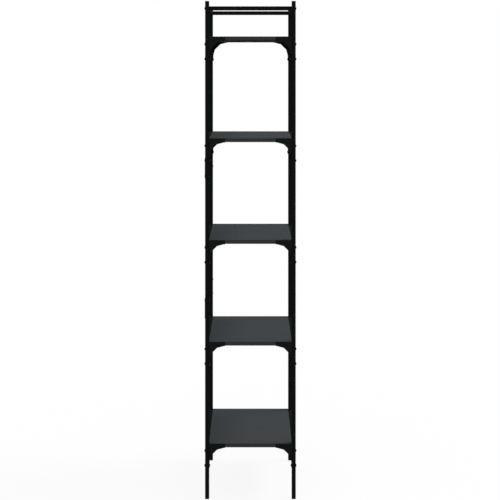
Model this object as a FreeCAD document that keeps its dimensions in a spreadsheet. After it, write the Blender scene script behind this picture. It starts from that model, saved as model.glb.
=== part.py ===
import FreeCAD, Part
import math
import os
import Sketcher

# A tall, narrow bookcase: four square tube posts, five boards held in sheet steel corner
# brackets, side rungs beside the boards and a guard rail round the top. Millimetres, +Z up,
# the front faces -Y, and the origin is on the floor under the middle of the bookcase.

DIMENSIONS = (
    ("overall_width", 340, "outside of the posts, left to right"),
    ("overall_depth", 305, "outside of the posts, front to back"),
    ("lowest_shelf", 193, "floor to the underside of the lowest shelf"),
    ("shelf_pitch", 381.5, "from one shelf to the next"),
    ("top_rise", 133, "top shelf to the tops of the posts"),
    ("tube_side", 15, "outer side of the square tube"),
    ("tube_wall", 1.2, "wall of the square tube"),
    ("tube_corner", 1.2, "outer corner radius of the tube"),
    ("rail_drop", 27.5, "tops of the posts to the middle of the guard rail"),
    ("shelf_thickness", 15, "board thickness"),
    ("shelf_edge", 0.5, "broken edge of the board"),
    ("bracket_sheet", 1.5, "bracket sheet thickness"),
    ("bracket_reach", 60, "bracket length along the shelf and radius of its inner corner"),
    ("bracket_rebate", 1, "top of the shelf to the upper edge of the bracket"),
    ("bracket_inset", 0.5, "face of the post to the face of the bracket"),
    ("bracket_margin", 1.5, "far edge of the bracket flange short of the post"),
    ("bracket_tail", 7.5, "last bolt to the lower end of the bracket"),
    ("bolt_drop", 14, "underside of the shelf to the first bolt"),
    ("bolt_spacing", 55.5, "first bolt to second bolt"),
    ("bolt_diameter", 5, "bolt shank"),
    ("bolt_head_diameter", 9.5, "dome head across"),
    ("bolt_head_height", 2.75, "dome head height"),
    ("bolt_head_round", 2.2, "rounding of the dome head"),
    ("socket_flats", 3, "hexagon socket across flats"),
    ("socket_depth", 1.4, "hexagon socket depth"),
    ("nut_flats", 8, "nut across flats"),
    ("nut_height", 2.2, "nut height"),
    ("thread_clearance", 0.1, "nut or insert bore over its bolt"),
    ("hole_clearance", 0.4, "drilled hole over its bolt or screw"),
    ("rail_bolt_grip", 10, "length of the rail bolt inside the rail"),
    ("insert_length", 14, "threaded insert in the rail end"),
    ("screw_diameter", 3.5, "shelf screw shank"),
    ("screw_head_diameter", 7, "shelf screw head across"),
    ("screw_head_height", 2, "shelf screw head height"),
    ("screw_head_round", 1.2, "rounding of the shelf screw head"),
    ("screw_grip", 10, "length of the shelf screw inside the board"),
    ("screw_near", 18, "post to the first shelf screw"),
    ("screw_gap", 28, "first shelf screw to the second"),
    ("plug_head", 2, "thickness of a tube plug outside the tube"),
    ("plug_round", 0.8, "rounded rim of a tube plug"),
    ("plug_stem", 14, "length of a tube plug inside the tube"),
    ("lower_seam_rise", 133.5, "second shelf to the lower seam of the posts"),
    ("seam_bevel", 0.4, "bevel on the ends of two lengths that meet in a seam"),
    ("sleeve_wall", 1.2, "wall of the inner sleeve"),
    ("sleeve_corner", 0.6, "outer corner radius of the inner sleeve"),
    ("strap_border", 1.3, "strap on each side of the hole that goes over a bolt head"),
    ("strap_thickness", 1.2, "splice strap thickness"),
    ("strap_stud_end", 1, "end of the strap's stud past the inner face of the post"),
    ("splice_near", 20, "seam to the splice screw in the middle length"),
    ("splice_far", 38.5, "seam to the bolt or stud in the other length"),
    ("splice_end_margin", 9, "screw, bolt or stud to the end of the sleeve and strap"),
    ("splice_screw_diameter", 4, "splice screw shank"),
    ("splice_head_diameter", 8, "splice screw head across"),
    ("splice_head_height", 1.1, "splice screw head height"),
    ("splice_head_round", 0.9, "rounding of the splice screw head"),
    ("splice_cap_diameter", 8, "closed end of the splice screw across"),
    ("splice_cap_height", 1.5, "closed end of the splice screw height"),
)

SHELVES = 5
FACETS = 3
TOUCHING = 0.001
SIDES = {"left": -1, "right": 1}
FACES = {"front": -1, "back": 1}

doc = FreeCAD.newDocument("Bookcase")
sheet = doc.addObject("Spreadsheet::Sheet", "Sizes")
for row, (alias, number, meaning) in enumerate(DIMENSIONS, start=1):
    sheet.set(f"A{row}", meaning)
    sheet.set(f"B{row}", str(number))
    sheet.setAlias(f"B{row}", alias)
doc.recompute()

pieces = []


# Places worked out from the sheet

def underside(tier):
    return f"(Sizes.lowest_shelf + {tier - 1} * Sizes.shelf_pitch)"


OUTER_X = "(Sizes.overall_width / 2)"
INNER_X = "(Sizes.overall_width / 2 - Sizes.tube_side)"
POST_X = "(Sizes.overall_width / 2 - Sizes.tube_side / 2)"
POST_Y = "(Sizes.overall_depth / 2 - Sizes.tube_side / 2)"
WEB_Y = "(Sizes.overall_depth / 2 - Sizes.bracket_inset)"
BORE = "(Sizes.tube_side - 2 * Sizes.tube_wall)"
TOP = f"({underside(SHELVES)} + Sizes.shelf_thickness + Sizes.top_rise)"
RAIL_Z = f"({TOP} - Sizes.rail_drop)"
LAST_BOLT = "(Sizes.bolt_drop + Sizes.bolt_spacing)"
LOWER_SEAM = f"({underside(2)} + Sizes.shelf_thickness + Sizes.lower_seam_rise)"
UPPER_SEAM = f"({underside(4)} - {LAST_BOLT} - Sizes.splice_far)"
SEAM_MIDDLE = f"(({LOWER_SEAM} + {UPPER_SEAM}) / 2)"
FLANGE_DEPTH = "(Sizes.tube_side - Sizes.bracket_inset - Sizes.bracket_margin)"
BOLT_IN_FLANGE = "(Sizes.tube_side / 2 - Sizes.bracket_inset)"
BOLT_HOLE = "(Sizes.bolt_diameter + Sizes.hole_clearance)"
SCREW_HOLE = "(Sizes.screw_diameter + Sizes.hole_clearance)"
SPLICE_HOLE = "(Sizes.splice_screw_diameter + Sizes.hole_clearance)"
THREAD_BORE = "(Sizes.bolt_diameter + Sizes.thread_clearance)"


# Drawing and feature helpers

def new_body(label, across="0", along="0", height="0", half_turn=False):
    """A named piece whose own origin sits at the given place, turned to face back if asked."""
    body = doc.addObject("PartDesign::Body", label)
    body.Label = label
    if half_turn:
        body.Placement.Rotation = FreeCAD.Rotation(FreeCAD.Vector(0, 0, 1), 180)
    for axis, place in (("x", across), ("y", along), ("z", height)):
        body.setExpression(f"Placement.Base.{axis}", place)
    pieces.append(body)
    return body


def origin_part(body, role):
    """One of the body's own origin planes or axes."""
    return next(part for part in body.Origin.OriginFeatures if part.Role == role)


def new_sketch(body, plane, lift="0"):
    """A sketch on one of the body's origin planes, lifted along the plane's normal."""
    sketch = body.newObject("Sketcher::SketchObject", "sketch")
    sketch.AttachmentSupport = [(origin_part(body, plane), "")]
    sketch.MapMode = "FlatFace"
    sketch.setExpression("AttachmentOffset.Base.z", lift)
    return sketch


def pin(sketch, element, point, across, up):
    """Hold a point of the sketch at a distance across and up from the sketch's origin."""
    spot = sketch.getPoint(element, point)
    for kind, now, wanted in (("DistanceX", spot.x, across), ("DistanceY", spot.y, up)):
        index = sketch.addConstraint(Sketcher.Constraint(kind, -1, 1, element, point, now))
        sketch.setExpression(f"Constraints[{index}]", wanted)


def draw_polygon(sketch, corners):
    """A closed outline through corners given as pairs of expressions."""
    first = sketch.GeometryCount
    count = len(corners)
    turns = [2 * math.pi * corner / count for corner in range(count)]
    spots = [FreeCAD.Vector(math.cos(turn), math.sin(turn), 0) for turn in turns]
    for corner in range(count):
        sketch.addGeometry(Part.LineSegment(spots[corner], spots[(corner + 1) % count]))
    for corner in range(count):
        following = first + (corner + 1) % count
        sketch.addConstraint(Sketcher.Constraint("Coincident", first + corner, 2, following, 1))
    for corner, (across, up) in enumerate(corners):
        pin(sketch, first + corner, 1, across, up)


def draw_square(sketch, side, across="0", up="0"):
    """A square of the given side about a middle point."""
    half = f"{side} / 2"
    draw_polygon(sketch, [(f"{across} {x} {half}", f"{up} {y} {half}") for x, y in ("--", "+-", "++", "-+")])


def draw_hexagon(sketch, flats, across="0", up="0"):
    """A hexagon with two flats upright, about a middle point."""
    radius = f"{flats} / sqrt(3)"
    draw_polygon(sketch, [(f"{across} + {radius} * cos({turn})", f"{up} + {radius} * sin({turn})")
                          for turn in range(30, 390, 60)])


def draw_circle(sketch, diameter, across="0", up="0"):
    """A circle about a middle point."""
    circle = sketch.addGeometry(Part.Circle(FreeCAD.Vector(), FreeCAD.Vector(0, 0, 1), 1))
    pin(sketch, circle, 3, across, up)
    index = sketch.addConstraint(Sketcher.Constraint("Diameter", circle, 2))
    sketch.setExpression(f"Constraints[{index}]", diameter)


def pad(body, sketch, length, side="One side", reverse=False):
    """Thicken a sketch into a solid."""
    feature = body.newObject("PartDesign::Pad", "pad")
    feature.Profile = sketch
    feature.setExpression("Length", length)
    feature.SideType = side
    feature.Reversed = reverse
    doc.recompute()
    return feature


def cut(body, sketch, depth=None, reverse=False):
    """Cut a sketch through the body both ways, or to a depth, and make sure it removed something."""
    before = body.Shape.Volume
    feature = body.newObject("PartDesign::Pocket", "pocket")
    feature.Profile = sketch
    if depth:
        feature.setExpression("Length", depth)
        feature.Reversed = reverse
    else:
        feature.Type = "ThroughAll"
        feature.SideType = "Symmetric"
    doc.recompute()
    if body.Shape.Volume > before - TOUCHING:
        raise RuntimeError(f"{body.Label}: a cut removed nothing")
    return feature


def turn_up(body, corners, lift):
    """Turn a half profile, drawn above the X axis at the given depth, into a round piece."""
    sketch = new_sketch(body, "XZ_Plane", lift)
    draw_polygon(sketch, corners)
    feature = body.newObject("PartDesign::Revolution", "revolution")
    feature.Profile = sketch
    feature.ReferenceAxis = (sketch, ["H_Axis"])
    doc.recompute()
    return feature


def dress_edges(body, kind, wanted, size, value):
    """Dress the edges of the body's last feature that the test picks out."""
    base = body.Tip
    names = [f"Edge{number}" for number, edge in enumerate(base.Shape.Edges, start=1) if wanted(edge)]
    feature = body.newObject(f"PartDesign::{kind}", kind.lower())
    feature.Base = (base, names)
    feature.setExpression(size, value)
    doc.recompute()


def round_edges(body, wanted, radius):
    dress_edges(body, "Fillet", wanted, "Radius", radius)


def break_edges(body, wanted, width):
    dress_edges(body, "Chamfer", wanted, "Size", width)


def every_edge(edge):
    return True


def runs_along(axis):
    """A test for straight edges that run along an axis."""
    return lambda edge: edge.tangentAt(edge.FirstParameter).cross(axis).Length < TOUCHING


def lies_at(axis, end):
    """A test for edges that lie wholly at one end of the body along an axis."""
    def test(edge):
        return all(abs(vertex.Point.dot(axis) - end) < TOUCHING for vertex in edge.Vertexes)
    return test


def repeat(body, axis, step, count):
    """Repeat everything made so far along an axis of the body."""
    pattern = body.newObject("PartDesign::LinearPattern", "row")
    pattern.TransformMode = "Whole shape"
    pattern.Direction = (origin_part(body, axis), [""])
    pattern.setExpression("Length", f"{step} * {count - 1}")
    pattern.Occurrences = count
    body.Tip = pattern
    doc.recompute()


def mirror(body, *planes):
    """Mirror everything made so far in each of the body's planes in turn."""
    for plane in planes:
        copy = body.newObject("PartDesign::Mirrored", "mirrored")
        copy.TransformMode = "Whole shape"
        copy.MirrorPlane = (origin_part(body, plane), [""])
        body.Tip = copy
        doc.recompute()


X_AXIS = FreeCAD.Vector(1, 0, 0)
Y_AXIS = FreeCAD.Vector(0, 1, 0)
Z_AXIS = FreeCAD.Vector(0, 0, 1)


# Tube work: posts, rails and rungs

def hollow_bar(body, plane, axis, length, side, seams=()):
    """A square tube with rounded outer corners along the normal of a plane, and bevelled seam ends."""
    outline = new_sketch(body, plane)
    draw_square(outline, "Sizes.tube_side")
    pad(body, outline, length, side)
    round_edges(body, runs_along(axis), "Sizes.tube_corner")
    reach = [vertex.Point.dot(axis) for vertex in body.Tip.Shape.Vertexes]
    ends = {"start": min(reach), "end": max(reach)}
    for seam in seams:
        break_edges(body, lies_at(axis, ends[seam]), "Sizes.seam_bevel")
    inside = new_sketch(body, plane)
    draw_square(inside, BORE)
    cut(body, inside)


def drill_across(body, heights, diameter):
    """Holes through a post from its outer face to its inner face."""
    holes = new_sketch(body, "YZ_Plane")
    for height in heights:
        draw_circle(holes, diameter, "0", height)
    cut(body, holes)


def bolt_heights(tier):
    return [f"{underside(tier)} - {drop}" for drop in ("Sizes.bolt_drop", LAST_BOLT)]


POST_LENGTHS = {
    "lower": ("Sizes.plug_head", LOWER_SEAM, (1, 2), ("end",)),
    "middle": (LOWER_SEAM, UPPER_SEAM, (3,), ("start", "end")),
    "upper": (UPPER_SEAM, f"({TOP} - Sizes.plug_head)", (4, 5), ("start",)),
}
SPLICE_SCREWS = (f"{LOWER_SEAM} + Sizes.splice_near", f"{UPPER_SEAM} - Sizes.splice_near")
STRAP_STUD = f"{LOWER_SEAM} - Sizes.splice_far"

for face, facing in FACES.items():
    for side, hand in SIDES.items():
        for name, (start, end, tiers, seams) in POST_LENGTHS.items():
            label = f"post_{face}_{side}_{name}"
            post = new_body(label, f"{hand} * {POST_X}", f"{facing} * {POST_Y}", start)
            hollow_bar(post, "XY_Plane", Z_AXIS, f"{end} - {start}", "One side", seams)
            bolts = [height for tier in tiers for height in bolt_heights(tier)]
            if name == "upper":
                bolts.append(RAIL_Z)
            if name == "lower" and side == "left":
                bolts.append(STRAP_STUD)
            drill_across(post, [f"{height} - {start}" for height in bolts], BOLT_HOLE)
            if name == "middle" and side == "left":
                drill_across(post, [f"{height} - {start}" for height in SPLICE_SCREWS], SPLICE_HOLE)

for face, facing in FACES.items():
    rail = new_body(f"top_rail_{face}", "0", f"{facing} * {POST_Y}", RAIL_Z)
    hollow_bar(rail, "YZ_Plane", X_AXIS, f"2 * {INNER_X}", "Symmetric")

RUNG_HEIGHTS = {f"side_rung_{tier}": f"{underside(tier)} + Sizes.shelf_thickness - Sizes.tube_side / 2"
                for tier in range(1, SHELVES + 1)}
RUNG_HEIGHTS["top_rung"] = RAIL_Z
for name, height in RUNG_HEIGHTS.items():
    for side, hand in SIDES.items():
        rung = new_body(f"{name}_{side}", f"{hand} * {POST_X}", "0", height)
        hollow_bar(rung, "XZ_Plane", Y_AXIS, "Sizes.overall_depth - 2 * Sizes.tube_side", "Symmetric")


# Shelf boards, drilled from below for the bracket screws

SCREW_PLACES = ("Sizes.screw_near", "(Sizes.screw_near + Sizes.screw_gap)")
SCREW_Y = f"({WEB_Y} - {FLANGE_DEPTH} / 2)"

for tier in range(1, SHELVES + 1):
    shelf = new_body(f"shelf_{tier}", "0", "0", underside(tier))
    board = new_sketch(shelf, "XY_Plane")
    half_depth = f"({WEB_Y} - Sizes.bracket_sheet)"
    draw_polygon(board, [(f"{x}{INNER_X}", f"{y}{half_depth}") for x, y in ("--", "+-", "++", "-+")])
    pad(shelf, board, "Sizes.shelf_thickness")
    break_edges(shelf, every_edge, "Sizes.shelf_edge")
    pilots = new_sketch(shelf, "XY_Plane")
    for hand in SIDES.values():
        for facing in FACES.values():
            for place in SCREW_PLACES:
                draw_circle(pilots, SCREW_HOLE, f"{hand} * ({INNER_X} - {place})", f"{facing} * {SCREW_Y}")
    cut(shelf, pilots, "Sizes.screw_grip + Sizes.hole_clearance", reverse=True)


# Corner brackets, drawn for the front and turned half round for the back. The web covers the end
# of the board, stops a little short of its top and comes down in straight facets set in a quarter
# circle.

def bracket_web(hand):
    reach = f"{hand} * Sizes.bracket_reach"
    upper_edge = "Sizes.shelf_thickness - Sizes.bracket_rebate"
    turns = [step * 90 / FACETS for step in range(FACETS + 1)]
    facets = [(f"{reach} * (1 - sin({turn}))", f"-Sizes.bracket_reach * (1 - cos({turn}))") for turn in turns]
    return [("0", upper_edge), (reach, upper_edge)] + facets


def bracket_angle(hand):
    tail = f"-({LAST_BOLT} + Sizes.bracket_tail)"
    reach = f"{hand} * Sizes.bracket_reach"
    wall = f"{hand} * Sizes.bracket_sheet"
    return [("0", "0"), (reach, "0"), (reach, "-Sizes.bracket_sheet"), (wall, "-Sizes.bracket_sheet"),
            (wall, tail), ("0", tail)]


for tier in range(1, SHELVES + 1):
    for face, facing in FACES.items():
        for side, hand in SIDES.items():
            bracket = new_body(f"bracket_{tier}_{face}_{side}", f"{hand} * {INNER_X}",
                               f"{facing} * {WEB_Y}", underside(tier), half_turn=face == "back")
            inward = hand * facing
            web = new_sketch(bracket, "XZ_Plane")
            draw_polygon(web, bracket_web(inward))
            pad(bracket, web, "Sizes.bracket_sheet", reverse=True)
            angle = new_sketch(bracket, "XZ_Plane")
            draw_polygon(angle, bracket_angle(inward))
            pad(bracket, angle, FLANGE_DEPTH, reverse=True)
            bolt_holes = new_sketch(bracket, "YZ_Plane")
            for drop in ("Sizes.bolt_drop", LAST_BOLT):
                draw_circle(bolt_holes, BOLT_HOLE, BOLT_IN_FLANGE, f"-{drop}")
            cut(bracket, bolt_holes)
            screw_holes = new_sketch(bracket, "XY_Plane")
            for place in SCREW_PLACES:
                draw_circle(screw_holes, SCREW_HOLE, f"{inward} * {place}", f"{FLANGE_DEPTH} / 2")
            cut(bracket, screw_holes)


# Fasteners. Each group starts from the piece at the front left and is repeated and mirrored.

def dome_bolt(body, tip):
    """A dome-head bolt through the front left post, from its outer face to the tip."""
    face = f"-{OUTER_X}"
    top = f"{face} - Sizes.bolt_head_height"
    rim = "Sizes.bolt_head_diameter / 2"
    shank = "Sizes.bolt_diameter / 2"
    turn_up(body, [(top, "0"), (tip, "0"), (tip, shank), (face, shank), (face, rim), (top, rim)], POST_Y)
    round_edges(body, lies_at(X_AXIS, body.Shape.BoundBox.XMin), "Sizes.bolt_head_round")
    socket = new_sketch(body, "YZ_Plane", top)
    draw_hexagon(socket, "Sizes.socket_flats", f"-{POST_Y}", "0")
    cut(body, socket, "Sizes.socket_depth", reverse=True)


NUT_SEAT = f"-{INNER_X} + Sizes.bracket_sheet"
LOWEST_BOLT = f"{underside(1)} - {LAST_BOLT}"

bracket_bolts = new_body("bracket_bolts", "0", "0", LOWEST_BOLT)
dome_bolt(bracket_bolts, f"{NUT_SEAT} + Sizes.nut_height")

bracket_nuts = new_body("bracket_nuts", "0", "0", LOWEST_BOLT)
nut = new_sketch(bracket_nuts, "YZ_Plane", NUT_SEAT)
draw_hexagon(nut, "Sizes.nut_flats", f"-{POST_Y}", "0")
draw_circle(nut, THREAD_BORE, f"-{POST_Y}", "0")
pad(bracket_nuts, nut, "Sizes.nut_height")

for group in (bracket_bolts, bracket_nuts):
    repeat(group, "Z_Axis", "Sizes.bolt_spacing", 2)
    repeat(group, "Z_Axis", "Sizes.shelf_pitch", SHELVES)
    mirror(group, "XZ_Plane", "YZ_Plane")

rail_bolts = new_body("rail_bolts", "0", "0", RAIL_Z)
dome_bolt(rail_bolts, f"-{INNER_X} + Sizes.rail_bolt_grip")
mirror(rail_bolts, "XZ_Plane", "YZ_Plane")

rail_inserts = new_body("rail_end_inserts", "0", "0", RAIL_Z)
insert = new_sketch(rail_inserts, "YZ_Plane", f"-{INNER_X}")
draw_square(insert, BORE, f"-{POST_Y}", "0")
draw_circle(insert, THREAD_BORE, f"-{POST_Y}", "0")
pad(rail_inserts, insert, "Sizes.insert_length")
mirror(rail_inserts, "XZ_Plane", "YZ_Plane")

shelf_screws = new_body("shelf_screws", "0", "0", underside(1))
screw_seat = "-Sizes.bracket_sheet"
head = new_sketch(shelf_screws, "XY_Plane", screw_seat)
draw_circle(head, "Sizes.screw_head_diameter", f"-{INNER_X} + Sizes.screw_near", f"-{SCREW_Y}")
pad(shelf_screws, head, "Sizes.screw_head_height", reverse=True)
round_edges(shelf_screws, lies_at(Z_AXIS, shelf_screws.Shape.BoundBox.ZMin - shelf_screws.Placement.Base.z),
            "Sizes.screw_head_round")
shank = new_sketch(shelf_screws, "XY_Plane", screw_seat)
draw_circle(shank, "Sizes.screw_diameter", f"-{INNER_X} + Sizes.screw_near", f"-{SCREW_Y}")
pad(shelf_screws, shank, "Sizes.bracket_sheet + Sizes.screw_grip")
repeat(shelf_screws, "X_Axis", "Sizes.screw_gap", 2)
repeat(shelf_screws, "Z_Axis", "Sizes.shelf_pitch", SHELVES)
mirror(shelf_screws, "XZ_Plane", "YZ_Plane")


# Plugs in the ends of the posts: four feet on the floor and four caps at the top

plugs = new_body("tube_plugs", "0", "0", f"{TOP} / 2")
foot = new_sketch(plugs, "XY_Plane", f"-{TOP} / 2")
draw_square(foot, "Sizes.tube_side", f"-{POST_X}", f"-{POST_Y}")
pad(plugs, foot, "Sizes.plug_head")
round_edges(plugs, runs_along(Z_AXIS), "Sizes.tube_corner")
round_edges(plugs, lies_at(Z_AXIS, plugs.Shape.BoundBox.ZMin - plugs.Placement.Base.z), "Sizes.plug_round")
stem = new_sketch(plugs, "XY_Plane", f"-{TOP} / 2 + Sizes.plug_head")
draw_square(stem, BORE, f"-{POST_X}", f"-{POST_Y}")
pad(plugs, stem, "Sizes.plug_stem")
mirror(plugs, "XY_Plane", "XZ_Plane", "YZ_Plane")


# Seams of the posts: inner sleeves in all four, straps and closed-end screws on the left pair. Each
# strap is screwed to the middle length of its post. Its other end goes over the head of a bracket bolt
# at the upper seam, and has a stud into the post at the lower seam.

LOWER_SPLICE = f"({LOWER_SEAM} - {SEAM_MIDDLE})"
UPPER_SPLICE = f"({UPPER_SEAM} - {SEAM_MIDDLE})"
SPLICE_MIDDLE = f"({LOWER_SPLICE} + (Sizes.splice_near - Sizes.splice_far) / 2)"
SPLICE_LENGTH = "(Sizes.splice_near + Sizes.splice_far + 2 * Sizes.splice_end_margin)"
HEAD_HOLE = "(Sizes.bolt_head_diameter + Sizes.hole_clearance)"
STRAP_WIDTH = f"({HEAD_HOLE} + 2 * Sizes.strap_border)"
NEAR_HOLE = f"{LOWER_SPLICE} + Sizes.splice_near"
FAR_HOLE = f"{LOWER_SPLICE} - Sizes.splice_far"

sleeves = new_body("splice_sleeves", "0", "0", SEAM_MIDDLE)
sleeve = new_sketch(sleeves, "XY_Plane", SPLICE_MIDDLE)
draw_square(sleeve, BORE, f"-{POST_X}", f"-{POST_Y}")
pad(sleeves, sleeve, SPLICE_LENGTH, "Symmetric")
round_edges(sleeves, runs_along(Z_AXIS), "Sizes.sleeve_corner")
core = new_sketch(sleeves, "XY_Plane", SPLICE_MIDDLE)
draw_square(core, f"({BORE} - 2 * Sizes.sleeve_wall)", f"-{POST_X}", f"-{POST_Y}")
cut(sleeves, core)
sleeve_holes = new_sketch(sleeves, "YZ_Plane")
draw_circle(sleeve_holes, SPLICE_HOLE, f"-{POST_Y}", NEAR_HOLE)
draw_circle(sleeve_holes, BOLT_HOLE, f"-{POST_Y}", FAR_HOLE)
cut(sleeves, sleeve_holes)
mirror(sleeves, "XY_Plane", "XZ_Plane", "YZ_Plane")

straps = new_body("splice_straps", "0", "0", SEAM_MIDDLE)
strap = new_sketch(straps, "YZ_Plane", f"-{OUTER_X}")
draw_polygon(strap, [(f"-{POST_Y} {y} {STRAP_WIDTH} / 2", f"{SPLICE_MIDDLE} {z} {SPLICE_LENGTH} / 2")
                     for y, z in ("--", "+-", "++", "-+")])
draw_circle(strap, SPLICE_HOLE, f"-{POST_Y}", NEAR_HOLE)
pad(straps, strap, "Sizes.strap_thickness", reverse=True)
mirror(straps, "XY_Plane")
head_hole = new_sketch(straps, "YZ_Plane")
draw_circle(head_hole, HEAD_HOLE, f"-{POST_Y}", f"{UPPER_SPLICE} + Sizes.splice_far")
cut(straps, head_hole)
stud = new_sketch(straps, "YZ_Plane", f"-{OUTER_X}")
draw_circle(stud, "Sizes.bolt_diameter", f"-{POST_Y}", FAR_HOLE)
pad(straps, stud, "Sizes.tube_side + Sizes.strap_stud_end")
mirror(straps, "XZ_Plane")

splice_screws = new_body("splice_screws", "0", "0", f"{LOWER_SEAM} + Sizes.splice_near")
seat = f"-{OUTER_X} - Sizes.strap_thickness"
head_top = f"{seat} - Sizes.splice_head_height"
head_rim = "Sizes.splice_head_diameter / 2"
stalk = "Sizes.splice_screw_diameter / 2"
inner_face = f"-{INNER_X}"
cap_end = f"{inner_face} + Sizes.splice_cap_height"
cap_rim = "Sizes.splice_cap_diameter / 2"
turn_up(splice_screws, [(head_top, "0"), (cap_end, "0"), (cap_end, cap_rim), (inner_face, cap_rim),
                        (inner_face, stalk), (seat, stalk), (seat, head_rim), (head_top, head_rim)], POST_Y)
round_edges(splice_screws, lies_at(X_AXIS, splice_screws.Shape.BoundBox.XMin), "Sizes.splice_head_round")
repeat(splice_screws, "Z_Axis", f"({UPPER_SEAM} - {LOWER_SEAM} - 2 * Sizes.splice_near)", 2)
mirror(splice_screws, "XZ_Plane")


# Check every object and write each piece to its own file

doc.recompute()
for item in doc.Objects:
    if "Invalid" in item.State or "Error" in item.State:
        raise RuntimeError(f"{item.Label} failed: {item.State}")
for piece in pieces:
    if piece.Shape.isNull() or not piece.Shape.isValid() or not piece.Shape.Solids:
        raise RuntimeError(f"{piece.Label} has no valid solid")

os.makedirs("parts", exist_ok=True)
for piece in pieces:
    piece.Shape.exportStep(f"parts/{piece.Label}.step")
solids = sum(len(piece.Shape.Solids) for piece in pieces)
print(f"{len(pieces)} pieces, {solids} solids")
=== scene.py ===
# %% [markdown]
# # A narrow bookcase of black steel tube and dark boards
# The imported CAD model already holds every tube, board, bracket and bolt in its place. This lesson
# keeps the tubes as they are, works out finer surfaces for the pieces that a close camera would find
# too plain, and gives each piece the finish of the real one. All lengths are in metres, +Z is up and
# the front faces -Y.

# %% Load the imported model
import bmesh
import bpy
import numpy as np
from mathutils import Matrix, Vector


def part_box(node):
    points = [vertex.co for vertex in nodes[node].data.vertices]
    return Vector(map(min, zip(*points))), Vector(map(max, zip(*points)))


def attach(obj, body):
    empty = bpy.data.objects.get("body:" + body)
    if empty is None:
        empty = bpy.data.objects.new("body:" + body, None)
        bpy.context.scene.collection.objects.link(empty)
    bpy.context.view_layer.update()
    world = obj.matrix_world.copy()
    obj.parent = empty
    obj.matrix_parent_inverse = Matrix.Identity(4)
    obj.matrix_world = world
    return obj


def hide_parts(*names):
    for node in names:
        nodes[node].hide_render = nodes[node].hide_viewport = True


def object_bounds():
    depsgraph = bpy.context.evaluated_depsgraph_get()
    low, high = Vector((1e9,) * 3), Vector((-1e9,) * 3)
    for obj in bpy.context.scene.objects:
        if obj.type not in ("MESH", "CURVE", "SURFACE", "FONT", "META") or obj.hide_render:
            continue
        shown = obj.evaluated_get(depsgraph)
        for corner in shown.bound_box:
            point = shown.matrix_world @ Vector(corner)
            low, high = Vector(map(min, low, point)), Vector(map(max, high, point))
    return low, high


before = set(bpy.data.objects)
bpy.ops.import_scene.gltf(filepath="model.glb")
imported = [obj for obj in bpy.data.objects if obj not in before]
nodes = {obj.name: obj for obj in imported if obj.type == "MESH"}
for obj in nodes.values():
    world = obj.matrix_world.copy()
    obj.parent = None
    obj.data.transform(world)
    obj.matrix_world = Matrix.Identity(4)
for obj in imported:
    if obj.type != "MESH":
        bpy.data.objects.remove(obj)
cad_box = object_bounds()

scene = bpy.context.scene
print(len(nodes), "CAD pieces in a box of", [round(side, 4) for side in cad_box[1] - cad_box[0]], "m")

# %% [markdown]
# ## Camera
# The photograph shows upright posts that stay parallel, so the camera looked level, from a little
# below the top shelf, and the picture was slid down with the lens. Tilting the camera would make the
# posts lean together. A level camera with a vertical shift gives the same view.

# %% Level camera with a lens shift
camera_data = bpy.data.cameras.new("level_camera")
camera_data.sensor_width = 36
camera_data.lens = 57.36
camera_data.shift_x = -0.0035
camera_data.shift_y = -0.3754
camera = bpy.data.objects.new("level_camera", camera_data)
camera.location = (0.005, -3.1375, 1.637)
camera.rotation_euler = (np.pi / 2, 0, 0)
scene.collection.objects.link(camera)
scene.camera = camera
print("Camera", round(-camera.location.y + cad_box[0].y, 3), "m in front of the posts")

# %% [markdown]
# ## Floor, background and light
# The photograph is a studio picture on pure white. An even sky and one broad lamp, high on the right,
# light the bookcase so that a colour renders about as it is written. White behind the bookcase is a
# matter of what the camera sees, not of more light: rays from the camera, and mirrored ones, meet a
# white of strength 1, while the light itself stays lower. The floor keeps part of its own shading, so
# a soft shadow still grounds the feet.

# %% Node helpers
def add_node(tree, kind, inputs=None, **settings):
    """Add a node, set its options, then give each input a number or link it to another output."""
    node = tree.nodes.new(kind)
    for setting, value in settings.items():
        setattr(node, setting, value)
    for socket, value in (inputs or {}).items():
        if isinstance(value, bpy.types.NodeSocket):
            tree.links.new(value, node.inputs[socket])
        else:
            node.inputs[socket].default_value = value
    return node


def seen_directly(tree):
    """1 for rays from the camera, mirror rays and rays through glass, and 0 for light on the object."""
    path = add_node(tree, "ShaderNodeLightPath").outputs
    seen = path["Is Camera Ray"]
    for kind in ("Is Glossy Ray", "Is Transmission Ray"):
        seen = add_node(tree, "ShaderNodeMath", {0: seen, 1: path[kind]}, operation="MAXIMUM").outputs[0]
    return seen


# %% Sky and lamp
WHITE = (1, 1, 1, 1)
SKY_STRENGTH = 0.72
LAMP_SPREAD = np.radians(20)
LAMP_TURN = np.radians([-4, 36, 0])
scene.view_settings.view_transform = "Standard"
sky = bpy.data.worlds.new("studio_sky")
scene.world = sky
sky.use_nodes = True
tree = sky.node_tree
tree.nodes.clear()
even_light = add_node(tree, "ShaderNodeBackground", {"Color": WHITE, "Strength": SKY_STRENGTH})
white = add_node(tree, "ShaderNodeBackground", {"Color": WHITE, "Strength": 1})
either = add_node(tree, "ShaderNodeMixShader",
                  {0: seen_directly(tree), 1: even_light.outputs[0], 2: white.outputs[0]})
add_node(tree, "ShaderNodeOutputWorld", {"Surface": either.outputs[0]})

lamp_data = bpy.data.lights.new("broad_lamp", "SUN")
lamp_data.energy = 1.05
lamp_data.angle = LAMP_SPREAD
lamp = bpy.data.objects.new("broad_lamp", lamp_data)
lamp.rotation_euler = LAMP_TURN
scene.collection.objects.link(lamp)
print("Sky", SKY_STRENGTH, "lamp", round(lamp_data.energy, 2))

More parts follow.
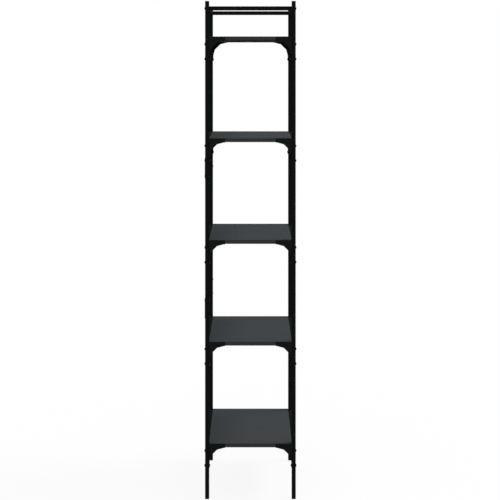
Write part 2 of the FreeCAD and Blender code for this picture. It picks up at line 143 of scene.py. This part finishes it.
# %% Pale floor
FLOOR_HALF = 12.0
FLOOR_BOUNCE = 0.12
SHADOW_SHARE = 0.12
floor_corners = FLOOR_HALF * np.array([[-1, -1, 0], [1, -1, 0], [1, 1, 0], [-1, 1, 0]])
floor_mesh = bpy.data.meshes.new("pale_floor")
floor_mesh.from_pydata(floor_corners, [], [[0, 1, 2, 3]])
floor = bpy.data.objects.new("pale_floor", floor_mesh)
scene.collection.objects.link(floor)
floor_paint = bpy.data.materials.new("pale_floor")
floor_paint.use_nodes = True
tree = floor_paint.node_tree
tree.nodes.clear()
seen = seen_directly(tree)
matt = add_node(tree, "ShaderNodeBsdfDiffuse", {"Color": (FLOOR_BOUNCE, FLOOR_BOUNCE, FLOOR_BOUNCE, 1)})
shaded = add_node(tree, "ShaderNodeBsdfDiffuse", {"Color": WHITE})
glow = add_node(tree, "ShaderNodeEmission", {"Color": WHITE, "Strength": 1})
pale = add_node(tree, "ShaderNodeMixShader", {0: SHADOW_SHARE, 1: glow.outputs[0], 2: shaded.outputs[0]})
either = add_node(tree, "ShaderNodeMixShader", {0: seen, 1: matt.outputs[0], 2: pale.outputs[0]})
add_node(tree, "ShaderNodeOutputMaterial", {"Surface": either.outputs[0]})
floor_mesh.materials.append(floor_paint)
print("Floor", 2 * FLOOR_HALF, "m across")

# %% [markdown]
# ## Finishes
# The tubes and brackets are powder coated: a dull black skin with the fine ripple called orange peel.
# The brackets get a paler copy of the same coat, which is painted light: it lifts them to a lighter
# tone than the tubes. The boards are chipboard under dark slate melamine with a faint printed grain,
# edged with plastic tape whose tones are set a little darker than the face: painted shade for the
# front edges, which take less light than the tops. Bolts, nuts and screws are blackened steel,
# smoother than the coat, the plugs in the tube ends are black plastic with a sparked, dull skin, and
# the steel inside the tubes is bare zinc. An image could carry such patterns, but noise on each
# piece's own coordinates has no seams and needs no file.

# %% Noise, tone and ripple helpers
NOISE_LOW = 0.3
NOISE_HIGH = 0.7


def noise(tree, scale, detail=2.0, stretch=(1, 1, 1)):
    """A cloudy pattern on the piece's own coordinates, finer where the stretch is larger."""
    place = add_node(tree, "ShaderNodeTexCoord").outputs["Object"]
    placed = add_node(tree, "ShaderNodeMapping", {"Vector": place, "Scale": stretch}).outputs["Vector"]
    cloud = add_node(tree, "ShaderNodeTexNoise", {"Vector": placed, "Scale": scale, "Detail": detail})
    return cloud.outputs["Fac"]


def tones(tree, pattern, dark, light):
    """Colour the pattern from a dark tone to a light one."""
    ramp = add_node(tree, "ShaderNodeValToRGB", {"Fac": pattern})
    for stop, place, tone in zip(ramp.color_ramp.elements, (NOISE_LOW, NOISE_HIGH), (dark, light)):
        stop.position = place
        stop.color = (*tone, 1)
    return ramp.outputs["Color"]


def spread(tree, pattern, low, high):
    """Stretch the pattern between two numbers."""
    stretched = add_node(tree, "ShaderNodeMapRange", {"Value": pattern, "To Min": low, "To Max": high,
                                                      "From Min": NOISE_LOW, "From Max": NOISE_HIGH})
    return stretched.outputs["Result"]


def ripple(tree, pattern, strength, height):
    """Turn the pattern into small hills of the given height."""
    hills = add_node(tree, "ShaderNodeBump", {"Height": pattern, "Strength": strength, "Distance": height})
    return hills.outputs["Normal"]


def new_finish(name, gloss, metal=0.0):
    """A material with one Principled shader, whose fixed numbers sit on its own sockets."""
    finish = bpy.data.materials.new(name)
    finish.use_nodes = True
    shader = finish.node_tree.nodes["Principled BSDF"]
    shader.inputs["Specular IOR Level"].default_value = gloss
    shader.inputs["Metallic"].default_value = metal
    return finish, finish.node_tree, shader.inputs


def wire(tree, inputs, colour, roughness, normal):
    """Link a colour, a roughness and a normal to the shader."""
    for socket, output in (("Base Color", colour), ("Roughness", roughness), ("Normal", normal)):
        tree.links.new(output, inputs[socket])


# %% Powder coat on the tubes, and a paler copy on the brackets as painted light
def coat(name, dark, light):
    """Dull powder coat: fine specks of two tones, slow changes of gloss, and orange peel."""
    finish, tree, inputs = new_finish(name, gloss=0.008)
    wire(tree, inputs,
         tones(tree, noise(tree, scale=900, detail=3), dark, light),
         spread(tree, noise(tree, scale=60), low=0.84, high=0.96),
         ripple(tree, noise(tree, scale=650, detail=1), strength=0.35, height=0.0002))
    return finish


powder_coat = coat("powder_coat", dark=(0.0078, 0.0101, 0.0095), light=(0.0127, 0.0157, 0.0148))
# Painted light: the brackets get a paler copy of the tube coat, a lighter tone than the same coat would
# give.
bracket_coat_painted_light = coat("bracket_coat_painted_light", dark=(0.0115, 0.0144, 0.0137), light=(0.0182, 0.0220, 0.0209))
print(powder_coat.name, bracket_coat_painted_light.name)

# %% Board face and edging tape
board_face, tree, inputs = new_finish("board_face", gloss=0.004)
grain = noise(tree, scale=1, detail=4, stretch=(9, 260, 260))
wire(tree, inputs,
     tones(tree, grain, dark=(0.062, 0.068, 0.072), light=(0.071, 0.077, 0.082)),
     spread(tree, grain, low=0.86, high=0.96),
     ripple(tree, grain, strength=0.2, height=0.0001))

# Painted shade: the tape's tones are darker than the board face's, standing in for front edges that take
# less light than the tops.
edging_tape_painted_shade, tree, inputs = new_finish("edging_tape_painted_shade", gloss=0.03)
along = noise(tree, scale=1, detail=2, stretch=(14, 14, 700))
wire(tree, inputs,
     tones(tree, along, dark=(0.055, 0.057, 0.059), light=(0.061, 0.064, 0.067)),
     spread(tree, along, low=0.55, high=0.62),
     ripple(tree, along, strength=0.15, height=0.00008))
print(board_face.name, edging_tape_painted_shade.name)

# %% Blackened steel, plug plastic and zinc
blackened_steel, tree, inputs = new_finish("blackened_steel", gloss=0.08)
specks = noise(tree, scale=1500, detail=2)
wire(tree, inputs,
     tones(tree, specks, dark=(0.0030, 0.0038, 0.0036), light=(0.0054, 0.0064, 0.0062)),
     spread(tree, noise(tree, scale=400), low=0.38, high=0.5),
     ripple(tree, noise(tree, scale=1800, detail=1), strength=0.15, height=0.0001))

moulded_plastic, tree, inputs = new_finish("moulded_plastic", gloss=0.05)
specks = noise(tree, scale=2200, detail=2)
wire(tree, inputs,
     tones(tree, specks, dark=(0.0036, 0.0042, 0.0041), light=(0.0058, 0.0066, 0.0064)),
     spread(tree, noise(tree, scale=300), low=0.65, high=0.75),
     ripple(tree, noise(tree, scale=2600, detail=1), strength=0.4, height=0.0001))

bright_zinc, tree, inputs = new_finish("bright_zinc", gloss=0.5, metal=1.0)
spangle = noise(tree, scale=220, detail=2)
wire(tree, inputs,
     tones(tree, spangle, dark=(0.42, 0.43, 0.44), light=(0.60, 0.61, 0.62)),
     spread(tree, spangle, low=0.3, high=0.45),
     ripple(tree, spangle, strength=0.1, height=0.0001))
print(blackened_steel.name, moulded_plastic.name, bright_zinc.name)

# %% [markdown]
# ## From a formula to a piece
# Every new piece is a grid of points worked out by a formula, all at once as numpy arrays. The faces
# are the same for any grid: each point with its neighbour and the two points of the next row. Where
# a row closes on one spot its points are welded, and the weld turns those faces into triangles. Sharp
# edges stay sharp, and the shading is weighted by area so that flat faces look flat.

# %% Faces of a grid, and a finished piece
WELD = 2e-7
CREASE = np.radians(40)


def grid_faces(rows, columns, ring_rows=False, ring_columns=False, copies=1):
    """Four corners per face: a point, the next in its row, and the same two in the next row."""
    number = np.arange(rows * columns).reshape(rows, columns)
    if ring_rows:
        number = np.concatenate([number, number[:1]])
    if ring_columns:
        number = np.concatenate([number, number[:, :1]], axis=1)
    faces = np.stack([number[:-1, :-1], number[:-1, 1:], number[1:, 1:], number[1:, :-1]], axis=-1)
    first = np.arange(copies) * rows * columns
    return (first[:, None, None] + faces.reshape(1, -1, 4)).reshape(-1, 4)


def make_piece(name, points, faces, finish, stands_for=(), open_sheet=False):
    """Put points and faces into a mesh, weld it, shade it, and let it ride on the bookcase."""
    mesh = bpy.data.meshes.new(name)
    mesh.from_pydata(points.reshape(-1, 3), [], faces)
    welded = bmesh.new()
    welded.from_mesh(mesh)
    bmesh.ops.remove_doubles(welded, verts=welded.verts, dist=WELD)
    if not open_sheet:
        bmesh.ops.recalc_face_normals(welded, faces=welded.faces)
    welded.to_mesh(mesh)
    welded.free()
    mesh.shade_smooth()
    mesh.set_sharp_from_angle(angle=CREASE)
    mesh.materials.append(finish)
    piece = bpy.data.objects.new(name, mesh)
    scene.collection.objects.link(piece)
    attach(piece, "root")
    if stands_for:
        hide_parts(*stands_for)
    return piece


def weigh_shading(piece):
    """Let the larger face decide the shading along an edge."""
    piece.modifiers.new("flat_faces", "WEIGHTED_NORMAL").keep_sharp = True


def corners(node):
    """Lowest and highest corner of a CAD piece as arrays."""
    low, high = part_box(node)
    return np.array(low), np.array(high)


print("A grid of 3 by 4 points has", len(grid_faces(3, 4)), "faces")

# %% [markdown]
# ## Shelf boards and their edging
# A board like this is sawn from a large panel, and a thin plastic tape is ironed round the raw edge.
# Up close that leaves a hairline between the face and the tape, and tape with softly rounded edges. A
# bevelled box would give one smooth block without the hairline. Here an outline is moved in step by
# step while it rises: the same formula makes the core, which closes in the middle of both faces, and
# the tape, whose rows run in a ring.

# %% Outline with rounded corners
CORNER_STEPS = 6
EASE_STEPS = 5


def outline(half_x, half_y, corner, inset):
    """A rectangle with rounded corners, moved in by each inset.

    Each corner is a quarter circle about a centre one radius in from both sides, and the straight
    sides are the gaps between the quarters. Moving in takes the inset off both half sides and off
    the radius, until the corner is sharp.
    """
    inset = np.asarray(inset)[:, None]
    quarter = np.linspace(0, np.pi / 2, CORNER_STEPS + 1)
    angle = (np.arange(4)[:, None] * np.pi / 2 + quarter).ravel()
    side_x = np.repeat([1, -1, -1, 1], CORNER_STEPS + 1)
    side_y = np.repeat([1, 1, -1, -1], CORNER_STEPS + 1)
    radius = np.maximum(corner - inset, 0)
    across = side_x * (half_x - inset - radius) + radius * np.cos(angle)
    along = side_y * (half_y - inset - radius) + radius * np.sin(angle)
    return across, along


def eased_side(height, lower, upper):
    """Inset and rise up a wall: a quarter circle at its lower edge and another at its upper edge."""
    turn = np.linspace(0, np.pi / 2, EASE_STEPS + 1)
    inset = np.concatenate([lower * (1 - np.sin(turn)), upper * (1 - np.cos(turn))])
    rise = np.concatenate([lower * (1 - np.cos(turn)), height - upper * (1 - np.sin(turn))])
    return inset, rise


def stack(half_x, half_y, corner, inset, rise):
    """Points of an outline that is moved in by each inset at each rise."""
    across, along = outline(half_x, half_y, corner, inset)
    return np.stack([across, along, np.broadcast_to(np.asarray(rise)[:, None], across.shape)], axis=-1)


print("An outline has", 4 * (CORNER_STEPS + 1), "points")

# %% Five boards, each with its tape
TIERS = range(1, 6)
TAPE = 0.001
TAPE_EASE = 0.0006
HAIRLINE = 0.00012
BOARD_CORNER = 0.0012

for tier in TIERS:
    low, high = corners(f"shelf_{tier}")
    half_x, half_y, thickness = (high - low) / (2, 2, 1)
    place = (low + high) / 2 * (1, 1, 0) + low * (0, 0, 1)

    core_x, core_y = half_x - TAPE, half_y - TAPE
    inset, rise = eased_side(thickness, HAIRLINE, HAIRLINE)
    middle = min(core_x, core_y)
    core = stack(core_x, core_y, HAIRLINE, np.r_[middle, inset, middle], np.r_[0, rise, thickness])
    board = make_piece(f"board_{tier}", core + place, grid_faces(*core.shape[:2], ring_columns=True),
                       board_face, [f"shelf_{tier}"])
    weigh_shading(board)

    inset, rise = eased_side(thickness, TAPE_EASE, TAPE_EASE)
    band = stack(half_x, half_y, BOARD_CORNER, np.r_[inset, TAPE, TAPE], np.r_[rise, thickness, 0])
    tape = make_piece(f"edging_{tier}", band + place,
                      grid_faces(*band.shape[:2], ring_rows=True, ring_columns=True),
                      edging_tape_painted_shade)
    weigh_shading(tape)
print(len(TIERS), "boards", np.round(1000 * (high - low), 1), "mm")

# %% [markdown]
# ## Folded corner brackets
# A corner bracket starts as a flat blank, cut with three straight facets on its inner side, and is
# then folded so that one flange lies on the post. Its face covers the end of the board almost to the
# top, and a tab under the board takes the screws. Two boxes joined at a corner would look cast. The
# formula does what the press does: it lays a grid on the blank and rolls it round the fold, so the
# bend has a true radius and the cut edge runs round it. Solidify then gives the sheet its thickness
# and Bevel takes the burr off the cut edges.

# %% A blank, rolled round its fold
SHEET = 0.0015
FOLD = 0.0022
FOLD_STEPS = 6
TRIM_STEPS = 4
REACH = 0.060
facet_turn = np.radians([0, 30, 60, 90])
facet_drop = REACH * (1 - np.cos(facet_turn))
facet_width = REACH * (1 - np.sin(facet_turn))


def roll(blank):
    """Fold a flat blank: distance from the post, and depth behind the face of the bracket.

    The blank is measured from the end of the fold. Below zero it runs straight back along the post.
    Up to a quarter turn it follows a circle of the fold's radius, and beyond that it runs straight
    out along the board.
    """
    turn = np.clip(blank / FOLD, 0, np.pi / 2)
    out = FOLD * (1 - np.cos(turn)) + np.maximum(blank - FOLD * np.pi / 2, 0)
    back = FOLD * (1 - np.sin(turn)) + np.maximum(-blank, 0)
    return out, back


def folded_web(depth, tail):
    """The bracket below the board: each row runs from the cut edge, round the fold, to the flange's edge.

    The cut edge lies as far from the post as the facets say, and columns that would lie beyond it
    stop there. Where it lies nearer than the fold's radius, the row starts part of the way round.
    """
    trimmed = np.interp(FOLD, facet_width[::-1], facet_drop[::-1])
    drop = np.r_[facet_drop[:-1], np.linspace(trimmed, REACH, TRIM_STEPS + 1), tail]
    width = np.interp(drop, facet_drop, facet_width)
    edge = np.where(width > FOLD, width - FOLD + FOLD * np.pi / 2,
                    FOLD * np.arccos(1 - np.minimum(width, FOLD) / FOLD))
    columns = np.r_[REACH * 2, FOLD * np.linspace(np.pi / 2, 0, FOLD_STEPS + 1), FOLD - depth]
    out, back = roll(np.minimum(columns, edge[:, None]))
    return np.stack([out, back, np.broadcast_to(-drop[:, None], out.shape)], axis=-1)


def flat_patch(first, across, down):
    """A flat sheet: its first corner, plus shares of the way across and of the way down."""
    steps = np.array([0.0, 1.0])
    return np.asarray(first) + steps[:, None, None] * np.asarray(down) + steps[:, None] * np.asarray(across)


print("Facets end", np.round(1000 * facet_drop[1:], 1), "mm below the board")

# %% Twenty brackets from one blank
BURR = 0.0003
BURR_ANGLE = np.radians(50)


def make_bracket(tier, face, side):
    """Place the blank at its post and mirror it for the side and the face that it belongs to."""
    node = f"bracket_{tier}_{face}_{side}"
    low, high = corners(node)
    depth = high[1] - low[1]
    underside = corners(f"shelf_{tier}")[0][2]
    upper = high[2] - underside
    web = folded_web(depth, underside - low[2])
    cover = flat_patch((REACH, 0, upper), (FOLD - REACH, 0, 0), (0, 0, -upper))
    tongue = flat_patch((FOLD, 0, upper), (-FOLD, 0, 0), (0, 0, -upper))
    tab = flat_patch((REACH, SHEET / 2, -SHEET), (SHEET / 2 - REACH, 0, 0), (0, depth - SHEET / 2, 0))
    patches = (web, cover, tongue, tab)
    counts = np.cumsum([0] + [patch.shape[0] * patch.shape[1] for patch in patches[:-1]])
    faces = np.concatenate([grid_faces(*patch.shape[:2]) + count for patch, count in zip(patches, counts)])
    points = np.concatenate([patch.reshape(-1, 3) for patch in patches])
    mirror = np.array([1 if side == "left" else -1, 1 if face == "front" else -1, 1])
    corner = np.where(mirror > 0, low, high)
    corner[2] = underside
    if mirror.prod() < 0:
        faces = faces[:, ::-1]
    piece = make_piece("folded_" + node, corner + mirror * points, faces,
                       bracket_coat_painted_light, [node], open_sheet=True)
    wall = piece.modifiers.new("sheet", "SOLIDIFY")
    wall.thickness = SHEET
    wall.offset = -1
    wall.use_even_offset = True
    burr = piece.modifiers.new("burr", "BEVEL")
    burr.width = BURR
    burr.segments = 2
    burr.limit_method = "ANGLE"
    burr.angle_limit = BURR_ANGLE
    weigh_shading(piece)
    return piece


brackets = [make_bracket(tier, face, side)
            for tier in TIERS for face in ("front", "back") for side in ("left", "right")]
print(len(brackets), "brackets")

# %% [markdown]
# ## Dome bolts
# Bolts with a low dome and a hexagon socket hold the brackets and the rails. A lathe makes such a
# head, so the formula is a lathe too: a profile of radii and heights, carried round the axis. In the
# socket the radius follows a hexagon instead of a circle. Each bolt stops at its own angle when it
# is tightened, so each gets its own turn, from a seeded generator that repeats on every run.

# %% Turned shapes
ROUND_STEPS = 36
DOME_STEPS = 8
CROSS_POWER = 6
LAND_START = 0.9
SOCKET_LIP = 0.0001
DRILL_POINT = 0.0002
SEAT_ROUND = 0.00015
TIP_BEVEL = 0.0005
round_turn = np.arange(ROUND_STEPS) * 2 * np.pi / ROUND_STEPS
clock = np.random.default_rng(5)


def hexagon(flats):
    """Distance from the middle to a hexagon: half its flats over the cosine of the turn from a flat."""
    return flats / 2 / np.cos(round_turn % (np.pi / 3) - np.pi / 6)


def cross(half_length, half_width):
    """Distance from the middle to a four-armed cross, with arms that a higher power makes narrower."""
    return half_width + (half_length - half_width) * np.cos(2 * round_turn) ** CROSS_POWER


def turned_head(diameter, height, land, rim, socket, depth):
    """Radius and height of a dome head with a socket, row by row from the bottom of the socket.

    The socket's rows follow its own outline, from a shallow drill point to a small lip. The next ring
    lies just inside the edge of the flat land. The dome is a quarter ellipse from that edge to the
    rim, and a small round leads to the seat.
    """
    dome = np.linspace(0, np.pi / 2, DOME_STEPS + 1)
    radius = diameter / 2
    rings = np.r_[land * LAND_START, land + (radius - land) * np.sin(dome), radius, radius - SEAT_ROUND]
    rises = np.r_[height, rim + (height - rim) * np.cos(dome), SEAT_ROUND, 0]
    head = np.broadcast_to(rings[:, None], (len(rings), ROUND_STEPS))
    bottom = np.stack([0 * socket, socket, socket])
    bottom_rises = [height - depth - DRILL_POINT, height - depth, height - SOCKET_LIP]
    return np.concatenate([bottom, head]), np.r_[bottom_rises, rises]


def add_shank(radius, height, shank, length, tail=((0.8, 0.0), (0.0, 0.0))):
    """Carry on from the seat: in to the shank, along it, and out through the tail.

    The tail is a list of pairs: a share of the shank's radius, and a length past the shank's end.
    """
    rings = np.r_[shank, shank, shank * np.array([step[0] for step in tail])]
    rises = np.r_[0, TIP_BEVEL - length, [-length - step[1] for step in tail]]
    rows = np.broadcast_to(rings[:, None], (len(rings), ROUND_STEPS))
    return np.concatenate([radius, rows]), np.r_[height, rises]


def turn_copies(radius, height, places, outward, axis=0):
    """Points of a turned shape, one copy per place, each with its own turn about X (0) or Z (2).

    The ring is drawn about X, and rolling its coordinates by two puts it about Z.
    """
    turn = round_turn + clock.uniform(0, 2 * np.pi, (len(places), 1))
    ring = np.stack([np.zeros_like(turn), np.cos(turn), np.sin(turn)], axis=-1)
    points = places[:, None, None] + radius[None, :, :, None] * np.roll(ring, axis, axis=-1)[:, None]
    points[..., axis] += outward[:, None, None] * height[:, None]
    return points


def ring_faces(points, ring_rows=False):
    """Faces of all the copies of a shape whose rows run in rings, and may close on the first row."""
    return grid_faces(*points.shape[1:3], ring_rows, ring_columns=True, copies=len(points))


print("A turned row has", ROUND_STEPS, "points")

# %% Where the bolts go
BOLT_DROPS = np.array([0.014, 0.0695])
post_low, post_high = corners("post_front_left_lower")
post_y = (post_low[1] + post_high[1]) / 2
undersides = np.array([corners(f"shelf_{tier}")[0][2] for tier in TIERS])
bolt_heights = (undersides[:, None] - BOLT_DROPS).ravel()


def four_posts(heights, face_x):
    """Places on all four posts at each height, on the face that lies at a distance from the middle."""
    side, front, height = np.meshgrid([-1, 1], [-1, 1], heights, indexing="ij")
    places = np.stack([side * face_x, -front * post_y, height], axis=-1).reshape(-1, 3)
    return places, np.sign(places[:, 0])


print(len(bolt_heights), "bolts on each post, the lowest at", round(bolt_heights.min(), 4), "m")

# %% Bracket bolts and rail bolts
BOLT_HEAD = 0.0095
BOLT_HEAD_HEIGHT = 0.00275
BOLT_LAND = 0.0024
BOLT_RIM = 0.0006
BOLT_SHANK = 0.0025
SOCKET_FLATS = 0.003
SOCKET_DEPTH = 0.0014
NUT_HEIGHT = 0.0022
outer_face, inner_face = -post_low[0], -post_high[0]
bolt_length = outer_face - inner_face + SHEET + NUT_HEIGHT
bolt_head = turned_head(BOLT_HEAD, BOLT_HEAD_HEIGHT, BOLT_LAND, BOLT_RIM,
                        hexagon(SOCKET_FLATS), SOCKET_DEPTH)
bolt = add_shank(*bolt_head, BOLT_SHANK, bolt_length)
points = turn_copies(*bolt, *four_posts(bolt_heights, outer_face))
bolts = make_piece("dome_bolts", points, ring_faces(points),
                   blackened_steel, ["bracket_bolts"])

rail_low, rail_high = corners("top_rail_front")
points = turn_copies(*bolt, *four_posts([(rail_low[2] + rail_high[2]) / 2], outer_face))
rail_bolts = make_piece("rail_dome_bolts", points, ring_faces(points),
                        blackened_steel, ["rail_bolts"])
print(len(bolts.data.polygons), "faces in bracket bolts,", len(rail_bolts.data.polygons), "in rail bolts")

# %% [markdown]
# ## Hexagon nuts
# A nut is turned first and gets its six flats afterwards, which leaves the curved bevels on its
# corners. A six-sided prism has none of them. The formula works in the same order: a turned ring with
# a cone at both ends, and then the smaller of that radius and the hexagon.

# %% Forty nuts
NUT_BORE = 0.00255
NUT_MOUTH = 0.00035
NUT_LAND = 0.0038
NUT_FLATS = 0.008
CONE_WIDTH = 0.00085
CONE_HEIGHT = 0.0005
CONE_STEPS = 4
cone = np.linspace(0, 1, CONE_STEPS + 1)
upper_cone = NUT_LAND + CONE_WIDTH * cone
nut_rings = np.r_[NUT_BORE, NUT_BORE, NUT_BORE + NUT_MOUTH, upper_cone, upper_cone[::-1]]
nut_rises = np.r_[0, NUT_HEIGHT - NUT_MOUTH, NUT_HEIGHT,
                  NUT_HEIGHT - CONE_HEIGHT * cone, CONE_HEIGHT * cone[::-1]]
nut_radius = np.minimum(nut_rings[:, None], hexagon(NUT_FLATS))
places, outward = four_posts(bolt_heights, inner_face - SHEET)
points = turn_copies(nut_radius, nut_rises, places, -outward)
nuts = make_piece("hexagon_nuts", points, ring_faces(points, ring_rows=True),
                  blackened_steel, ["bracket_nuts"])
print(len(nuts.data.polygons), "faces in", len(places), "nuts")

# %% [markdown]
# ## Board screws
# Two round-head screws go up through each bracket's tab into the board. They show only from below,
# but there they are at eye height under the top shelf. The lathe formula is used again, with a cross
# for the driver, and the axis upright.

# %% Forty screws under the boards
SCREW_PLACES = np.array([0.018, 0.046])
SCREW_HEAD = 0.007
SCREW_HEAD_HEIGHT = 0.002
SCREW_LAND = 0.0018
SCREW_RIM = 0.0005
SCREW_SHANK = 0.00175
SCREW_LENGTH = 0.0115
CROSS_HALF = 0.0016
CROSS_CORE = 0.0005
CROSS_DEPTH = 0.0009
driver = cross(CROSS_HALF, CROSS_CORE)
screw_head = turned_head(SCREW_HEAD, SCREW_HEAD_HEIGHT, SCREW_LAND, SCREW_RIM, driver, CROSS_DEPTH)
screw = add_shank(*screw_head, SCREW_SHANK, SCREW_LENGTH)
bracket_low, bracket_high = corners("bracket_1_front_left")
screw_x = inner_face - SCREW_PLACES
screw_y = -(bracket_low[1] + bracket_high[1]) / 2
side, face, across, height = np.meshgrid([-1, 1], [-1, 1], screw_x, undersides - SHEET, indexing="ij")
places = np.stack([side * across, face * screw_y, height], axis=-1).reshape(-1, 3)
points = turn_copies(*screw, places, -np.ones(len(places)), axis=2)
screws = make_piece("board_screws", points, ring_faces(points),
                    blackened_steel, ["shelf_screws"])
print(len(screws.data.polygons), "faces in", len(places), "screws")

# %% [markdown]
# ## Screws at the seams of the posts
# Where two lengths of post meet, a strap on the left posts covers the joint and a screw with a closed
# end clamps it. The head is flatter than a bolt's. Past the tube the profile steps out again into the
# closed end, a low cap on the inner face of the post: a short straight rim, then a quarter ellipse.

# %% Four closed-end screws
CLAMP_HEAD = 0.008
CLAMP_HEAD_HEIGHT = 0.0011
CLAMP_LAND = 0.0026
CLAMP_RIM = 0.0004
CLAMP_SOCKET = 0.0025
CLAMP_DEPTH = 0.0007
CLAMP_SHANK = 0.002
CAP_RIM = 0.0006
CAP_HEIGHT = 0.0015
CAP_STEPS = 6
strap_face = -corners("splice_straps")[0][0]
swell = np.linspace(np.pi / 2, 0, CAP_STEPS + 1)
cap = CLAMP_HEAD / 2 / CLAMP_SHANK
cap_dome = zip(cap * np.sin(swell), CAP_RIM + (CAP_HEIGHT - CAP_RIM) * np.cos(swell))
clamp_head = turned_head(CLAMP_HEAD, CLAMP_HEAD_HEIGHT, CLAMP_LAND, CLAMP_RIM,
                         hexagon(CLAMP_SOCKET), CLAMP_DEPTH)
clamp = add_shank(*clamp_head, CLAMP_SHANK, strap_face - inner_face, [(1, 0), (cap, 0), *cap_dome])
clamp_low, clamp_high = corners("splice_screws")
clamp_z = np.array([clamp_low[2] + CLAMP_HEAD / 2, clamp_high[2] - CLAMP_HEAD / 2])
face, height = np.meshgrid([-1, 1], clamp_z, indexing="ij")
places = np.stack([np.full(face.shape, -strap_face), face * post_y, height], axis=-1).reshape(-1, 3)
points = turn_copies(*clamp, places, -np.ones(len(places)))
clamps = make_piece("closed_end_screws", points, ring_faces(points),
                    blackened_steel, ["splice_screws"])
print(len(clamps.data.polygons), "faces in", len(places), "closed-end screws")

# %% [markdown]
# ## Plugs in the tube ends
# Moulded plugs close the posts: four stand on the floor and four cap the tops. Each has a thin head as
# wide as the tube with a rounded rim, and a stem that grips inside. It is the board's formula again,
# an outline moved in while it rises, and the caps are the feet turned over.

# %% Four feet and four caps
PLUG_HEAD = 0.002
PLUG_ROUND = 0.0008
PLUG_SHOULDER = 0.0001
STEM_INSET = 0.0013
STEM_LENGTH = 0.014
STEM_TAPER = 0.0006
STEM_LEAD = 0.001
TUBE_CORNER = 0.0012
half = (post_high[0] - post_low[0]) / 2
stem_end = PLUG_HEAD + STEM_LENGTH
inset, rise = eased_side(PLUG_HEAD, PLUG_ROUND, PLUG_SHOULDER)
inset = np.r_[half, inset, STEM_INSET, STEM_INSET, STEM_INSET + STEM_TAPER, half]
rise = np.r_[0, rise, PLUG_HEAD, stem_end - STEM_LEAD, stem_end, stem_end]
plug = stack(half, half, TUBE_CORNER, inset, rise)
side, front, end = np.meshgrid([-1, 1], [-1, 1], [0, 1], indexing="ij")
top = cad_box[1].z
places = np.stack([side * (outer_face - half), front * post_y, end * top], axis=-1).reshape(-1, 3)
upright = np.ones_like(places)
upright[:, 2] = np.where(places[:, 2] > 0, -1, 1)
points = plug * upright[:, None, None] + places[:, None, None]
plugs = make_piece("post_plugs", points, ring_faces(points),
                   moulded_plastic, ["tube_plugs"])
weigh_shading(plugs)
print(len(plugs.data.polygons), "faces in", len(places), "plugs")

# %% [markdown]
# ## Weld beads
# The side rungs are welded to the posts before coating, above and below each end, and the coat shows
# the ripples of the bead. Bump alone would leave the corner sharp. Each bead is a quarter round along
# the corner, whose radius swells with every ripple and runs out to nothing at both ends.

# %% A bead along each rung end
BEAD_LENGTH = 0.0136
BEAD_LEG = 0.0021
BEAD_SINK = 0.0004
BEAD_STEPS = 60
BEAD_TURNS = 7
RIPPLE = 0.0015
RIPPLE_LEAN = 0.5
RIPPLE_HEIGHT = 0.09
TAPER_POWER = 6


def weld_bead():
    """Across the rung, out along it, and up the post: a radius about the corner, turned a quarter.

    The radius is the leg times a taper, which is a blunt ellipse along the bead, times one plus a
    small wave. The wave leans with the turn, so its crests are curved like those of a real bead.
    """
    along = np.sin(np.linspace(-np.pi / 2, np.pi / 2, BEAD_STEPS + 1))[:, None] * BEAD_LENGTH / 2
    turn = np.linspace(0, np.pi / 2, BEAD_TURNS + 1)
    lean = RIPPLE * RIPPLE_LEAN * np.sin(2 * turn)
    wave = 1 + RIPPLE_HEIGHT * np.cos(2 * np.pi * (along + lean) / RIPPLE)
    taper = np.sqrt(np.maximum(1 - (2 * along / BEAD_LENGTH) ** TAPER_POWER, 0))
    radius = BEAD_LEG * taper * wave
    out, up = radius * np.cos(turn), radius * np.sin(turn)
    sunk = np.full_like(along, -BEAD_SINK)
    out = np.concatenate([sunk, out, sunk], axis=1)
    up = np.concatenate([sunk, up, sunk], axis=1)
    across = np.broadcast_to(along, out.shape)
    return np.stack([across, out, up], axis=-1)


rungs = [name for name in nodes if "rung" in name]
boxes = np.array([corners(name) for name in rungs])
bead = weld_bead()
rung_number, end, level = np.meshgrid(np.arange(len(rungs)), [0, 1], [0, 1], indexing="ij")
rung_number, end, level = rung_number.ravel(), end.ravel(), level.ravel()
places = np.stack([boxes[rung_number, :, 0].mean(axis=1), boxes[rung_number, end, 1],
                   boxes[rung_number, level, 2]], axis=-1)
facing = np.stack([np.ones(len(places)), np.where(end == 0, 1, -1), np.where(level == 0, -1, 1)], axis=-1)
points = bead * facing[:, None, None] + places[:, None, None]
welds = make_piece("rung_welds", points, ring_faces(points), powder_coat)
print(len(places), "weld beads,", len(welds.data.polygons), "faces")

# %% [markdown]
# ## Tubes, straps and hidden steel
# The posts, rails, rungs and straps are right as the CAD model made them, so they stay and only change
# their finish. The sleeves inside the seams and the inserts in the rail ends stay bare zinc.

# %% Finish for the CAD pieces that stay
zinc_nodes = ("rail_end_inserts", "splice_sleeves")
coated_kinds = ("post_", "top_rail", "top_rung", "side_rung", "splice_straps")
coated = [name for name in nodes if name.startswith(coated_kinds)]
for name in (*coated, *zinc_nodes):
    for material_slot in nodes[name].material_slots:
        material_slot.material = bright_zinc if name in zinc_nodes else powder_coat
print(len(coated), "coated CAD pieces,", len(zinc_nodes), "in zinc")
